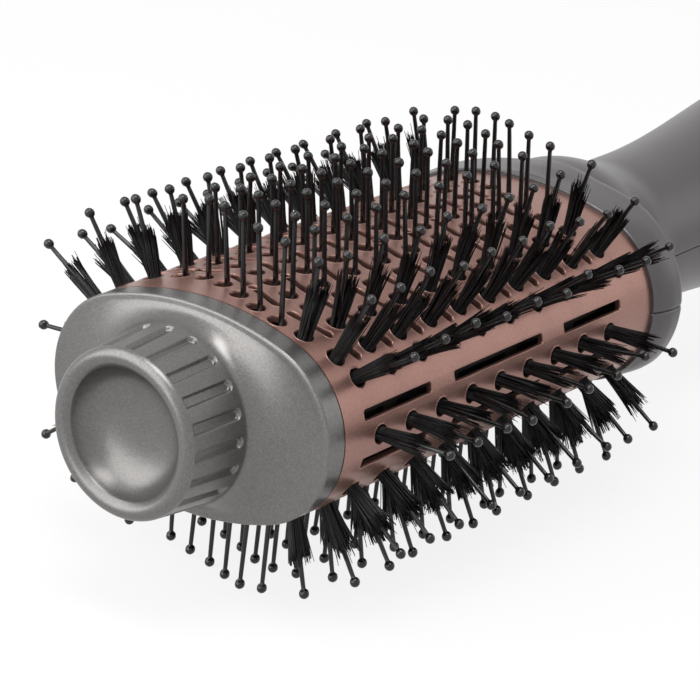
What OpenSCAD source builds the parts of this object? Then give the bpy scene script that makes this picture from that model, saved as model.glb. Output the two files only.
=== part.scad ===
// Hot air brush with an oval heated barrel: a perforated metal barrel over bristle
// strips and an air core, a closed end cap with a cool finger grip, and a round
// handle that holds the heater, fan, motor, circuit board, selector ring and swivel.
// X runs along the brush, out of the tail. The origin is the middle of the mouth of
// the cord bore. Z is up, across the barrel's wide faces.

/* [Barrel] */
// Visible length of the heated barrel
barrel_len = 96.6; // [92:0.2:110]
// Width of the oval barrel
barrel_w = 61; // [59:0.5:66]
// Height of the oval barrel
barrel_h = 38.4; // [37.6:0.2:41]
// Radius of the barrel's two narrow sides
side_r = 16.9; // [15.5:0.1:17.4]
// Wall of the metal barrel
barrel_wall = 1.2; // [0.8:0.1:1.5]
// Length of the barrel's end inside the collar
barrel_insert = 3; // [2:0.5:4]

/* [Bristle field] */
// Distance between bristles along a row
bristle_pitch = 9; // [8.5:0.1:9.4]
// Distance between rows on the wide faces
row_pitch = 5.2; // [5:0.1:5.4]
// Length kept free of bristles at the barrel's rear end
row_margin = 6; // [5.4:0.2:8]
// Distance from the cap to the middle of the rows' staggered start
row_start = 5.4; // [5:0.1:6]
// How far the rows' start swings either way
row_swing = 3.1; // [0:0.1:3.2]
// Distance from the cap to the first bristle of the narrow sides
side_start = 10; // [6:0.5:12]
// Radius of the holes in the barrel
hole_r = 1.8; // [1.7:0.05:2]
// How far the pins stand off the hole's centre, towards the handle
pin_shift = 0.6; // [0.4:0.05:1.2]
// How far the tufts stand off the hole's centre
tuft_shift = 0.5; // [0:0.05:0.55]
// Lean of the first tufted row
tuft_lean_1 = 13; // [8:1:16]
// Lean of the second tufted row
tuft_lean_2 = 30; // [26:1:34]
// Lean of the third tufted row
tuft_lean_3 = 56; // [50:1:60]

/* [Bristles] */
// Height of a pin's ball centre above the barrel
pin_len = 14.1; // [12:0.1:17]
// Radius of a pin
pin_r = 0.5; // [0.4:0.05:0.55]
// Radius of the ball on a pin
ball_r = 0.92; // [0.7:0.02:1.1]
// Height of a tuft's bristles above the barrel
tuft_len = 10.4; // [8:0.2:12]
// Radius of a tuft where it leaves the barrel
tuft_base_r = 1.15; // [0.9:0.05:1.2]
// Radius of a tuft at its tip
tuft_tip_r = 2.2; // [1.4:0.1:2.4]
// Width of the strips that carry the bristles
strip_w = 2.8; // [2.4:0.1:2.9]
// Thickness of the strips that carry the bristles
strip_t = 2; // [1.6:0.1:2.2]

/* [Vents] */
// Width of the slots between the bristles
vent_w = 1.9; // [1.5:0.1:2.2]
// Width of the long slots on the narrow sides
side_vent_w = 2; // [1.5:0.1:2.4]
// Corner radius of the long slots
vent_corner = 0.5; // [0.3:0.05:0.7]
// Angle from the narrow side's middle to its long slots
side_vent_angle = 15; // [13:1:18]

/* [Air core] */
// Gap between the barrel and the strips
strip_gap = 0.7; // [0.6:0.05:0.8]
// Gap between the strips and the core
core_gap = 0.7; // [0.6:0.05:0.9]
// Wall of the core
core_wall = 1.5; // [1.2:0.1:1.8]
// Thickness of the ring that holds the strips' front ends
front_ring_t = 3.8; // [3.6:0.1:4]
// Thickness of the ring that holds the strips' rear ends
rear_ring_t = 3.2; // [2.8:0.1:3.6]
// Radius of the rod that ties the cap to the handle
tie_rod_r = 1.5; // [1.3:0.1:1.8]

/* [End cap] */
// Depth of the cap's straight rim
rim_len = 4.6; // [4.2:0.1:6]
// Length of the hollow curve from the rim to the grip
cap_sweep = 4.7; // [3.5:0.1:5.5]
// Radius of the grip at its front lip
grip_r = 15.3; // [14.6:0.1:15.6]
// Radius of the grip where the curve meets it
grip_root_r = 16.3; // [15.8:0.1:16.8]
// Length of the grip from the curve to its front edge
grip_len = 13.1; // [11:0.1:15]
// Radius of the rounded lip around the dish
lip_r = 1.75; // [1.5:0.05:2]
// Depth of the finger dish
dish_depth = 6.4; // [4:0.2:7]
// Radius of the dish's floor
dish_floor_r = 8.4; // [7:0.1:9]
// Number of grip grooves
groove_count = 20; // [12:1:22]
// Width of a grip groove
groove_w = 2.1; // [1.6:0.1:2.4]
// Depth of a grip groove
groove_depth = 0.8; // [0.5:0.05:1.2]
// Distance from the curve to the grooves' round ends
groove_start = 0.3; // [0.2:0.1:2]
// Wall of the cap
cap_wall = 1.4; // [1.3:0.1:1.6]

/* [Collar] */
// Length of the oval collar at its narrow sides
collar_len = 11.2; // [10:0.2:13]
// How much further the collar reaches back on its wide faces
collar_reach = 2; // [1:0.2:3]
// How far the collar's narrow sides bulge past the barrel
collar_bulge = 2; // [1.6:0.1:3]
// How far the collar's wide faces and front edge stand past the barrel
collar_edge = 0.8; // [0.7:0.1:1.2]
// How far the collar's rear edge tucks in below the barrel's outline
collar_tuck = 4.9; // [4.5:0.1:5.5]

/* [Handle] */
// Length of the handle shells behind the collar's front
shell_len = 205; // [200:1:230]
// Radius of the round flare where the neck leaves the collar
flare_r = 20.5; // [20.2:0.1:21]
// Radius of the neck behind the collar
neck_r = 16; // [15.6:0.1:17]
// Largest radius of the handle, around the fan
body_r = 22.4; // [22:0.1:24]
// Smallest radius of the grip
hold_r = 19.4; // [19:0.1:21]
// Radius of the handle's rear end
rear_r = 20.4; // [20:0.1:22]
// Wall of the handle shells
shell_wall = 2; // [1.6:0.1:2.4]

/* [Selector and tail] */
// Width of the selector ring
selector_w = 15; // [12:0.5:18]
// Number of finger flutes on the selector ring
flute_count = 24; // [16:1:28]
// Length of the tail cap with its air slots
tail_len = 26; // [24:0.5:32]
// Number of air slots around the tail cap
intake_count = 20; // [14:1:22]
// Radius of the bore that takes the mains cord
cord_bore_r = 3.7; // [3:0.1:4.2]
// Length of the swivel behind the tail cap
swivel_len = 12; // [11:0.5:16]
// Radius of the hole in the hanging lug
hang_hole_r = 3.2; // [2.6:0.1:3.6]

/* [Heater and fan] */
// Radius of the mica tube around the heater
mica_r = 13.4; // [13:0.1:13.6]
// Length of the heater
heater_len = 52; // [44:1:54]
// Turns of the heating coil
coil_turns = 9; // [6:1:12]
// Radius of the motor's can
motor_r = 12; // [10:0.2:12.4]
// Length of the motor's can
motor_len = 30; // [24:1:32]
// Number of fan blades
blade_count = 7; // [5:1:9]

/* [Fits] */
// Radial running clearance of a turning part
run_fit = 0.06; // [0.03:0.01:0.1]
// Gap beside a turning part, along its axis
end_gap = 0.4; // [0.3:0.1:0.6]
// Clearance between parts that are pushed together
slip_fit = 0.15; // [0.1:0.05:0.2]

/* [Hidden] */
$fn = 64;

// Stations along X
handle_len = shell_len + selector_w + 2*end_gap + tail_len + swivel_len;
collar_x = -handle_len;
head_x = collar_x - barrel_len;
tail_x = -swivel_len;
ring_x = tail_x - tail_len - end_gap - selector_w;
tail_seat = 6;
spigot_end = handle_len - swivel_len - tail_len + tail_seat;

// The oval section: two end arcs and two face arcs that meet where their normals agree
half_w = barrel_w/2;
half_h = barrel_h/2;
arc_y = half_w - side_r;
face_r = (arc_y*arc_y + half_h*half_h - side_r*side_r)/(2*(half_h - side_r));
face_drop = face_r - half_h;
turn = atan2(face_drop, arc_y);

function face_z(y) = abs(y) < face_r*cos(turn)
    ? sqrt(face_r*face_r - y*y) - face_drop
    : sqrt(side_r*side_r - pow(abs(y) - arc_y, 2));
function oval_point(p, grow) = abs(sin(p)) <= sin(turn)
    ? [sign(cos(p))*arc_y + (side_r + grow)*cos(p), (side_r + grow)*sin(p)]
    : [(face_r + grow)*cos(p), (face_r + grow)*sin(p) - sign(sin(p))*face_drop];

// Rows are counted from the barrel's middle: half numbers up to 2.5 are the pin rows
// of a wide face, and 3.5, 4.5 and 5.5 are the tufted rows that go round the edge
pin_rows = [-2.5:2.5];
tuft_rows = [-5.5, -4.5, -3.5, 3.5, 4.5, 5.5];
tuft_normals = [53, 37];
tuft_gap = 0.1;
function row_angle(j) = tuft_normals[abs(j) - 4.5];
function row_y(j) = abs(j) < 4 ? j*row_pitch
    : sign(j)*(arc_y + side_r*cos(row_angle(j)));
function row_z(j) = abs(j) < 4 ? face_z(row_y(j)) : side_r*sin(row_angle(j));
function row_lean(j) = abs(j) < 3 ? 0
    : sign(j)*[tuft_lean_1, tuft_lean_2, tuft_lean_3][abs(j) - 3.5];
function row_x(j) = row_start - row_swing*cos(40*(j + 2.5));
row_count = 1 + floor((barrel_len - row_start - row_swing - row_margin)/bristle_pitch);
side_count = 1 + floor((barrel_len - side_start - row_margin)/bristle_pitch);

strip_top = -barrel_wall - strip_gap;
strip_bottom = strip_top - strip_t;
core_grow = strip_bottom - core_gap;
core_window_w = 4;
core_web = 2.5;
hub_tube_r = 5;
nut_r = 3;
nut_t = 2.4;
core_x0 = 0.4;
core_x1 = barrel_len - rear_ring_t;
strip_x0 = core_x0 + 0.8 - front_ring_t;
strip_x1 = barrel_len - 0.8;

// Handle outline: a blend eases from one radius to the next
function ease(t) = (1 - cos(180*min(max(t, 0), 1)))/2;
function blend(s, s0, s1, r0, r1) = r0 + (r1 - r0)*ease((s - s0)/(s1 - s0));
flare_start = 2;
flare_full = 0.7*collar_len;
flare_end = collar_len + 1.8;
flare_root = half_h + collar_edge - 0.1;
neck_s = 0.16*shell_len;
neck_end = 0.2*shell_len;
body_s = 0.57*shell_len;
hold_s = 0.86*shell_len;
function handle_r(s) = s < flare_end ? blend(s, flare_start, flare_full, flare_root, flare_r)
    : s < neck_s ? blend(s, flare_end, neck_s, flare_r, neck_r)
    : s < body_s ? blend(s, neck_end, body_s, neck_r, body_r)
    : s < hold_s ? blend(s, body_s, hold_s, body_r, hold_r)
    : blend(s, hold_s, shell_len, hold_r, rear_r);
spigot_r = rear_r - 4;
spigot_wall = 2;
rib_t = 1.5;
tab_w = 4;
ring_edge = 1;
flute_r = 1.9;
flute_depth = 0.7;
switch_hole_r = 7;
wiper_t = 1.2;
tail_wall = 2.6;
intake_w = 1.8;
neck_steps = 16;
body_steps = 32;

// Heater and fan stations behind the collar's front
base_t = 2;
flange_w = 0.9;
lug_half = half_h/2;
spoke_w = 1.6;
mica_gap = 0.6;
mica_t = 0.5;
board_t = 0.8;
heater_s0 = 8;
heater_s1 = heater_s0 + heater_len;
wire_r = 0.5;
coil_margin = 8;
thermostat_w = 4;
fuse_len = 10;
fuse_r = 1.5;
board_half = mica_r - mica_t - 1.4;
housing_r = body_r - shell_wall - 3;
housing_wall = 1.4;
fan_gap = 2;
fan_len = 8;
fan_tip_gap = 0.5;
fan_r = housing_r - housing_wall - fan_tip_gap;
housing_len = motor_len + fan_gap + fan_len + 4;
housing_s0 = body_s - housing_len/2;
housing_s1 = body_s + housing_len/2;
damper_t = 1.2;
damper_len = 6;
motor_s0 = housing_s0 + 3;
motor_s1 = motor_s0 + motor_len;
cup_wall = 1.2;
vane_t = 1.2;
vane_count = 9;
shaft_r = 1;
shaft_seat = 4.4;
tab_len = 5;
tab_h = 1.2;
tab_y = 7;
fan_s0 = motor_s1 + fan_gap;
hub_r = 7;
lead_r = 0.65;
lead_z = housing_r + lead_r + 0.1;
lead_y = 2.4;

// Screws: stations behind the collar's front and distances either side
screw_r = 1.3;
screw_head_r = 2.5;
screw_head_t = 2;
screw_bite = 6;
screw_boss_r = 3.2;
screw_seat = 7;
screw_s = [0.38*shell_len, 0.7*shell_len, 0.94*shell_len];
screw_y = [0.54*body_r, 0.63*body_r, 0.54*body_r];
function screw_points() = [for (i = [0:2], side = [-1, 1]) [screw_s[i], side*screw_y[i]]];

// Circuit board: between the rear two pairs of screws
pcb_gap = 2;
pcb_s0 = screw_s[1] + screw_boss_r + pcb_gap;
pcb_s1 = screw_s[2] - screw_boss_r - pcb_gap;
pcb_len = pcb_s1 - pcb_s0;
pcb_w = 26;
pcb_t = 1.6;
pcb_z = -4;
pcb_top = pcb_z + pcb_t;
rail_t = 1.6;
capacitor_h = 10;
diode_r = 1;
terminal_w = 7;
terminal_h = 6;
mains_r = 0.9;
mains_z = pcb_top + terminal_h + mains_r;

// Swivel in the tail
journal_r = cord_bore_r + 2;
web_t = 4;
clip_t = 1.2;
lug_t = 4;
lug_r = hang_hole_r + 2.2;
lug_x = tail_x + 2*end_gap + lug_r;
lug_y = journal_r + hang_hole_r + 2;
swivel_x0 = tail_x - web_t - end_gap - 5;

module along_x(length) rotate([90, 0, 90]) linear_extrude(length) children();
module about_x() rotate([0, 90, 0]) rotate_extrude() children();

module oval(grow) {
    y1 = (face_r + grow)*cos(turn);
    for (side = [-1, 1]) translate([side*arc_y, 0]) circle(side_r + grow);
    intersection() {
        translate([0, -face_drop]) circle(face_r + grow, $fn = 180);
        translate([0, face_drop]) circle(face_r + grow, $fn = 180);
        square([2*y1, 4*half_h], center = true);
    }
}

// A closed surface through rings of points, listed in order of rising x
module loft(rings) {
    n = len(rings[0]);
    m = len(rings);
    sides = [for (j = [0:m - 2], i = [0:n - 1], half = [0, 1])
        half == 0 ? [j*n + i, (j + 1)*n + i, (j + 1)*n + (i + 1)%n]
                  : [j*n + i, (j + 1)*n + (i + 1)%n, j*n + (i + 1)%n]];
    ends = [[for (i = [0:n - 1]) i], [for (i = [n - 1:-1:0]) (m - 1)*n + i]];
    polyhedron([for (ring = rings, p = ring) p], concat(sides, ends), convexity = 6);
}

// A round wire along a path. ref is a direction that the path never takes
module wire(path, r, ref, n = 8) {
    function unit(v) = v/norm(v);
    function along(i) = unit(path[min(i + 1, len(path) - 1)] - path[max(i - 1, 0)]);
    loft([for (i = [0:len(path) - 1])
        let (t = along(i), u = unit(cross(ref, t)), w = cross(t, u))
        [for (k = [0:n - 1]) path[i] + r*(u*cos(360*k/n) + w*sin(360*k/n))]]);
}

// Places children at a row's start, with Z along its bristles. face is 1 or -1
module at_row(j, face) translate([head_x + row_x(j), row_y(j), face*row_z(j)])
    rotate([face > 0 ? -row_lean(j) : 180 + row_lean(j), 0, 0]) children();
module at_side(side) translate([head_x + side_start, side*half_w, 0])
    rotate([-90*side, 0, 0]) children();
module row_of(count, shift) for (i = [0:count - 1])
    translate([i*bristle_pitch + shift, 0, 0]) children();

// Barrel

module slot(p, q, w) {
    d = q - p;
    translate(p) rotate(atan2(d[1], d[0])) {
        translate([0, -w/2]) square([norm(d), w]);
        for (x = [0, norm(d)]) translate([x, 0]) circle(w/2);
    }
}

// Slots between the bristles follow the rows' stagger across a wide face
module face_slots() {
    function at(j) = [row_x(j) + bristle_pitch/2 - 0.1, j*row_pitch];
    for (i = [0:row_count - 2], span = [[-3.8, -2.45], [-1.7, -0.4], [-0.4, 0.9],
        [1.6, 2.7], [2.7, 3.8]])
        translate([i*bristle_pitch, 0]) slot(at(span[0]), at(span[1]), vent_w);
}

module edge_slots() for (i = [0:row_count - 2])
    translate([(i + 0.5)*bristle_pitch - 0.1, 0]) slot([-0.5, 1.1], [0.5, -1.1], vent_w);

module side_slots() for (span = [[0.058, 0.261], [0.332, 0.62], [0.692, 0.891]]) {
    x0 = span[0]*barrel_len;
    x1 = span[1]*barrel_len;
    w = side_vent_w;
    translate([x0, vent_corner - w/2]) square([x1 - x0, w - 2*vent_corner]);
    translate([x0 + vent_corner, -w/2]) square([x1 - x0 - 2*vent_corner, w]);
    for (x = [x0 + vent_corner, x1 - vent_corner], y = [vent_corner - w/2, w/2 - vent_corner])
        translate([x, y]) circle(vent_corner);
}

module barrel_shell() color([0.72, 0.52, 0.47]) difference() {
    translate([head_x, 0, 0]) along_x(barrel_len + barrel_insert) difference() {
        oval(0);
        oval(-barrel_wall);
    }
    translate([head_x, 0, -half_h - 1]) linear_extrude(2*half_h + 2) face_slots();
    for (face = [-1, 1]) {
        for (j = concat([for (k = pin_rows) k], tuft_rows)) at_row(j, face)
            translate([0, 0, -3.2]) linear_extrude(6) row_of(row_count, 0) circle(hole_r);
        for (j = [-4.5, 4.5]) at_row(j, face)
            translate([0, 0, -3]) linear_extrude(5) edge_slots();
        for (side = [0, 180]) let (p = oval_point(side + side_vent_angle, 0))
            translate([head_x, p[0], face*p[1]])
            rotate([face*(side + side_vent_angle - 90), 0, 0])
            translate([0, 0, -3]) linear_extrude(5) side_slots();
    }
    for (side = [-1, 1]) at_side(side)
        translate([0, 0, -3.2]) linear_extrude(6) row_of(side_count, 0) circle(hole_r);
}

// Bristles

module ball_pin() {
    translate([0, 0, strip_top]) cylinder(pin_len - strip_top, r = pin_r, $fn = 24);
    translate([0, 0, pin_len]) sphere(ball_r, $fn = 24);
}

module tuft() rotate_extrude($fn = 24) polygon([[pin_r + tuft_gap, strip_top],
    [tuft_base_r, strip_top], [tuft_base_r, barrel_wall], [tuft_tip_r, tuft_len],
    [pin_r + tuft_gap, tuft_len]]);

module strip(x, grow = 0) translate([head_x + strip_x0 - x, -strip_w/2 - grow,
    strip_bottom - grow]) cube([strip_x1 - strip_x0, strip_w + 2*grow, strip_t + 2*grow]);

module flat_strips(face, grow = 0) for (j = pin_rows) at_row(j, face)
    strip(head_x + row_x(j), grow);
module edge_strips(grow = 0) {
    for (face = [-1, 1], j = tuft_rows) at_row(j, face) strip(head_x + row_x(j), grow);
    for (side = [-1, 1]) at_side(side) strip(head_x + side_start, grow);
}
module flat_pins(face) for (j = pin_rows) at_row(j, face)
    row_of(row_count, pin_shift) ball_pin();
module edge_rows() {
    for (face = [-1, 1], j = tuft_rows) at_row(j, face)
        row_of(row_count, tuft_shift) children();
    for (side = [-1, 1]) at_side(side) row_of(side_count, tuft_shift) children();
}

module flat_strips_top() color([0.1, 0.1, 0.1]) flat_strips(1);
module flat_strips_bottom() color([0.1, 0.1, 0.1]) flat_strips(-1);
module tuft_strips() color([0.1, 0.1, 0.1]) edge_strips();
module ball_pins_top() color([0.07, 0.07, 0.07]) flat_pins(1);
module ball_pins_bottom() color([0.07, 0.07, 0.07]) flat_pins(-1);
module tuft_pins() color([0.07, 0.07, 0.07]) edge_rows() ball_pin();
module bristle_tufts() color([0.05, 0.05, 0.05]) edge_rows() tuft();

// Air core and the rings at its ends

module core_windows() {
    step = (core_x1 - core_x0)/5;
    for (i = [0:4], k = [-2:2])
        translate([core_x0 + (i + 0.5)*step, k*(core_window_w + core_web)])
            square([step - core_window_w, core_window_w], center = true);
}

module air_core() color([0.16, 0.15, 0.15]) difference() {
    translate([head_x + core_x0, 0, 0]) along_x(core_x1 - core_x0) difference() {
        oval(core_grow);
        oval(core_grow - core_wall);
    }
    translate([head_x, 0, -half_h]) linear_extrude(2*half_h) core_windows();
    translate([head_x, -half_w, 0]) rotate([-90, 0, 0]) linear_extrude(2*half_w)
        intersection() {
            core_windows();
            square([4*barrel_len, 4*core_window_w], center = true);
        }
}

module all_strips(grow) {
    for (face = [-1, 1]) flat_strips(face, grow);
    edge_strips(grow);
}

module front_strip_ring() color([0.16, 0.15, 0.15]) difference() {
    translate([head_x + core_x0 - front_ring_t, 0, 0]) along_x(front_ring_t)
        oval(-cap_wall - slip_fit);
    all_strips(0.02);
    translate([head_x - rim_len, 0, 0]) along_x(2*rim_len) circle(hub_tube_r + slip_fit);
}

module rear_strip_ring() color([0.16, 0.15, 0.15]) difference() {
    translate([head_x + core_x1, 0, 0]) along_x(rear_ring_t) difference() {
        oval(-barrel_wall - slip_fit);
        oval(core_grow - core_wall);
    }
    all_strips(0.02);
}

module tie_rod() color([0.6, 0.6, 0.62]) {
    rod_x0 = head_x - rim_len;
    rod_x1 = collar_x + barrel_insert + base_t;
    translate([rod_x0, 0, 0]) along_x(rod_x1 - rod_x0) circle(tie_rod_r);
    translate([rod_x1, 0, 0]) along_x(nut_t) circle(nut_r, $fn = 6);
}

// The base's outline: oval, with a lug at each narrow side that locks into the collar
module flange(grow, lug, lug_z) {
    oval(grow);
    intersection() {
        oval(lug);
        square([2*barrel_w, 2*lug_z], center = true);
    }
}

// Oval base that carries the core, seats the barrel's end and is held by the collar
module barrel_base() color([0.16, 0.15, 0.15]) {
    difference() {
        translate([collar_x, 0, 0]) along_x(barrel_insert) oval(-barrel_wall - slip_fit);
        translate([collar_x - 1, 0, 0]) along_x(barrel_insert + 2) circle(mica_r + mica_gap);
    }
    translate([collar_x + barrel_insert, 0, 0]) {
        difference() {
            along_x(base_t) flange(0, flange_w - slip_fit/2, lug_half);
            translate([-1, 0, 0]) along_x(base_t + 2) circle(mica_r + mica_gap);
        }
        difference() {
            union() {
                for (turn_by = [0:60:120]) rotate([turn_by, 0, 0])
                    translate([0, -mica_r - 1, -spoke_w/2]) cube([base_t, 2*mica_r + 2, spoke_w]);
                along_x(base_t) circle(nut_r + 1);
            }
            translate([-1, 0, 0]) along_x(base_t + 2) circle(tie_rod_r);
        }
    }
}

// End cap: oval rim, hollow sweep and cool finger grip in one moulding

module sweep_to_grip() {
    n = 72;
    root_r = grip_root_r + 0.05;
    grip_ring = [for (i = [0:n - 1]) [root_r*cos(360*i/n), root_r*sin(360*i/n)]];
    steps = [1, 0.985, 0.95, 0.89, 0.8, 0.68, 0.54, 0.38, 0.2, 0];
    loft(concat(
        [for (t = steps) let (rise = 1 - pow(1 - pow(t, 2.2), 1/2.2))
            [for (i = [0:n - 1]) let (p = (1 - t)*oval_point(360*i/n, -1.1) + t*grip_ring[i])
                [head_x - rim_len - cap_sweep*rise - 0.1*t, p[0], p[1]]]],
        [for (edge = [[0.25, -0.45], [0.8, -0.1], [1.3, -0.03]])
            [for (i = [0:n - 1]) let (p = oval_point(360*i/n, edge[1]))
                [head_x - rim_len + edge[0], p[0], p[1]]]]));
}

module grip_outline() difference() {
    front = grip_len - lip_r;
    mouth = grip_r - 2*lip_r;
    union() {
        polygon([[0, 0], [grip_root_r, 0], [grip_r, front], [grip_r - lip_r, front],
            [grip_r - lip_r, grip_len], [0, grip_len]]);
        translate([grip_r - lip_r, front]) circle(lip_r);
    }
    translate([0, grip_len]) polygon([[-1, 1], [grip_r - lip_r - 0.2, 1],
        [grip_r - lip_r - 0.2, -0.05], [mouth + 0.9, -0.5], [mouth + 0.25, -lip_r],
        [dish_floor_r + 1.2, 1.4 - dish_depth], [dish_floor_r, 0.6 - dish_depth],
        [0.55*dish_floor_r, -dish_depth], [0, -dish_depth - 0.2], [-1, -dish_depth - 0.2]]);
}

// A groove that follows the grip's taper, round at the back and square at the lip
module groove() translate([0, 0, grip_root_r - groove_depth])
    rotate([0, -atan((grip_root_r - grip_r)/(grip_len - lip_r)), 0]) linear_extrude(4) {
        groove_len = grip_len - lip_r - groove_start - groove_w/2;
        translate([-groove_start - groove_w/2 - groove_len, -groove_w/2])
            square([groove_len, groove_w]);
        translate([-groove_start - groove_w/2, 0]) circle(groove_w/2);
    }

module end_cap() color([0.62, 0.6, 0.58]) {
    root_x = head_x - rim_len - cap_sweep;
    floor_x = root_x - grip_len + dish_depth + cap_wall + 0.4;
    difference() {
        union() {
            translate([head_x - rim_len + 1.3, 0, 0]) along_x(rim_len - 1.3) oval(0);
            sweep_to_grip();
            translate([root_x, 0, 0]) rotate([0, 180, 0]) about_x() grip_outline();
        }
        for (i = [0:groove_count - 1]) translate([root_x, 0, 0])
            rotate([360*i/groove_count + 90, 0, 0]) groove();
        translate([head_x + core_x0 - front_ring_t, 0, 0]) along_x(rim_len)
            oval(-cap_wall);
        translate([floor_x, 0, 0]) along_x(head_x - floor_x)
            circle(grip_r - groove_depth - cap_wall);
    }
    difference() {
        translate([floor_x - 0.5, 0, 0]) along_x(head_x + core_x0 - floor_x + 0.5)
            circle(hub_tube_r);
        translate([head_x - rim_len, 0, 0]) along_x(rim_len + 2) circle(tie_rod_r);
    }
}

// Handle shells

// Share of the bulge round the oval: 1 at the narrow sides, none on the wide faces
function side_share(p) = ease((72 - abs(asin(sin(p))))/34);

module collar_outside() {
    n = 72;
    k = collar_len/11.2;
    // Station, share of the bulge, share of the tuck and share of the reach
    rows = [[0.4, 0, 0, 0], [2.2, 0.6, 0, 0.1], [4.6, 1, 0, 0.3], [6.6, 1, 0, 0.7],
        [8.2, 0.85, 0, 1], [9.2, 0.45, 0.06, 1], [10, 0, 0.25, 1], [10.6, 0, 0.55, 1],
        [11.2, 0, 1.3, 1]];
    function ring(s, edge) = [for (i = [0:n - 1]) let (p = oval_point(360*i/n, edge))
        [collar_x + s, p[0], p[1]]];
    function row(v) = [for (i = [0:n - 1]) let (w = side_share(360*i/n),
        p = oval_point(360*i/n, collar_edge + (collar_bulge - collar_edge)*w*v[1]
            - collar_tuck*v[2]))
        [collar_x + k*v[0] + collar_reach*(1 - w)*v[3], p[0], p[1]]];
    loft(concat([ring(0, collar_edge - 0.2)], [for (v = rows) row(v)],
        [ring(collar_len + collar_reach + 0.2, collar_edge - 2.3*collar_tuck)]));
}

module handle_profile(inset) {
    stations = concat(
        [for (i = [0:neck_steps]) flare_start + i*(neck_s - flare_start)/neck_steps],
        [for (i = [1:body_steps]) neck_s + i*(shell_len - neck_s)/body_steps]);
    polygon(concat([[0, flare_start]], [for (s = stations) [handle_r(s) - inset, s]],
        [[0, shell_len]]));
}

module handle_outside() {
    collar_outside();
    translate([collar_x, 0, 0]) about_x() handle_profile(0);
    translate([collar_x, 0, 0]) along_x(spigot_end) circle(spigot_r);
}

module handle_inside() {
    translate([collar_x - 1, 0, 0]) along_x(barrel_insert + 1) oval(slip_fit);
    translate([collar_x + barrel_insert, 0, 0]) along_x(base_t)
        flange(slip_fit, flange_w, lug_half + slip_fit);
    translate([collar_x + barrel_insert, 0, 0])
        along_x(collar_len - barrel_insert - shell_wall) oval(-shell_wall - 0.4);
    translate([collar_x, 0, 0]) about_x() handle_profile(shell_wall);
    translate([collar_x + shell_len - 10, 0, 0]) along_x(spigot_end)
        circle(spigot_r - spigot_wall);
}

// Rings and rails inside the shells, which seat the heater, fan and circuit board
module shell_ribs() {
    module rib(s, t, r) translate([collar_x + s, 0, 0]) along_x(t) difference() {
        circle(handle_r(s) - shell_wall + 0.6);
        circle(r);
    }
    for (s = [heater_s0 + 6, heater_s1 - 1]) rib(s, shell_wall, mica_r + slip_fit);
    difference() {
        union() {
            for (s = [body_s - damper_len/2 - rib_t, body_s + damper_len/2])
                rib(s, rib_t, housing_r + 0.2);
            rib(body_s - damper_len/2, damper_len, housing_r + damper_t);
        }
        lead_notches();
    }
    for (step = [[pcb_t, spigot_r - spigot_wall - 1.2], [0, spigot_r - spigot_wall]])
        translate([collar_x + shell_len - shell_wall - step[0], 0, 0]) along_x(shell_wall)
            difference() {
                circle(rear_r - 1);
                circle(step[1]);
            }
}

// Passages for the heater's leads past the fan's mount
module lead_notches() for (side = [-1, 1])
    translate([collar_x + body_s - damper_len, side*lead_y, lead_z]) along_x(2*damper_len)
        circle(lead_r + 0.2);

module board_rails() for (side = [-1, 1])
    translate([collar_x + pcb_s0, side*(pcb_w/2 - rail_t) - rail_t/2, -hold_r + 1])
        cube([pcb_len, rail_t, hold_r - 1 + pcb_z]);

module shell_half(face) difference() {
    union() {
        difference() {
            handle_outside();
            handle_inside();
        }
        shell_ribs();
        intersection() {
            translate([collar_x, 0, 0]) about_x() handle_profile(0.5);
            union() {
                for (p = screw_points()) translate([collar_x + p[0], p[1], -body_r])
                    cylinder(2*body_r, r = screw_boss_r);
                if (face < 0) board_rails();
            }
        }
    }
    translate([collar_x - 5, -2*body_r, face > 0 ? -4*body_r : 0])
        cube([handle_len + 10, 4*body_r, 4*body_r]);
    for (p = screw_points()) translate([collar_x + p[0], p[1], 0]) {
        translate([0, 0, -screw_seat - 1]) cylinder(screw_seat + screw_bite + 2, r = screw_r);
        translate([0, 0, -screw_seat - 2*body_r])
            cylinder(2*body_r, r = screw_head_r + slip_fit);
    }
    selector_slot();
}

// Slot in the spigot that the selector's drive tab moves in
module selector_slot() translate([ring_x + (selector_w - tab_w)/2 - 0.2, 0, 0])
    rotate([0, 90, 0]) rotate([0, 0, 180 - 55]) rotate_extrude(angle = 110)
    translate([spigot_r - spigot_wall - 1, 0]) square([spigot_wall + 2, tab_w + 0.4]);

module handle_upper_shell() color([0.47, 0.46, 0.46]) shell_half(1);
module handle_lower_shell() color([0.47, 0.46, 0.46]) shell_half(-1);

module shell_screws() color([0.55, 0.55, 0.56]) for (p = screw_points())
    translate([collar_x + p[0], p[1], -screw_seat]) {
        cylinder(screw_seat + screw_bite, r = screw_r);
        translate([0, 0, -screw_head_t]) cylinder(screw_head_t, r = screw_head_r);
    }

// Heater

module mica_tube() color([0.78, 0.7, 0.55]) translate([collar_x + barrel_insert + base_t, 0, 0])
    along_x(heater_s1 + 1 - barrel_insert - base_t) difference() {
        circle(mica_r);
        circle(mica_r - mica_t);
    }

module mica_board(upright) {
    tab = 4;
    inner = mica_r - mica_t;
    difference() {
        union() {
            translate([heater_s0, -board_half]) square([heater_len, 2*board_half]);
            for (s = [heater_s0, heater_s1 - tab]) translate([s, -inner + 0.03])
                square([tab, 2*inner - 0.06]);
        }
        translate([upright ? heater_s0 - 1 : heater_s0 + heater_len/2, -board_t/2])
            square([heater_len/2 + 1, board_t]);
    }
}

module mica_board_upright() color([0.82, 0.74, 0.6]) translate([collar_x, board_t/2, 0])
    rotate([90, 0, 0]) linear_extrude(board_t) mica_board(true);
module mica_board_flat() color([0.82, 0.74, 0.6]) translate([collar_x, 0, -board_t/2])
    linear_extrude(board_t) mica_board(false);

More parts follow.
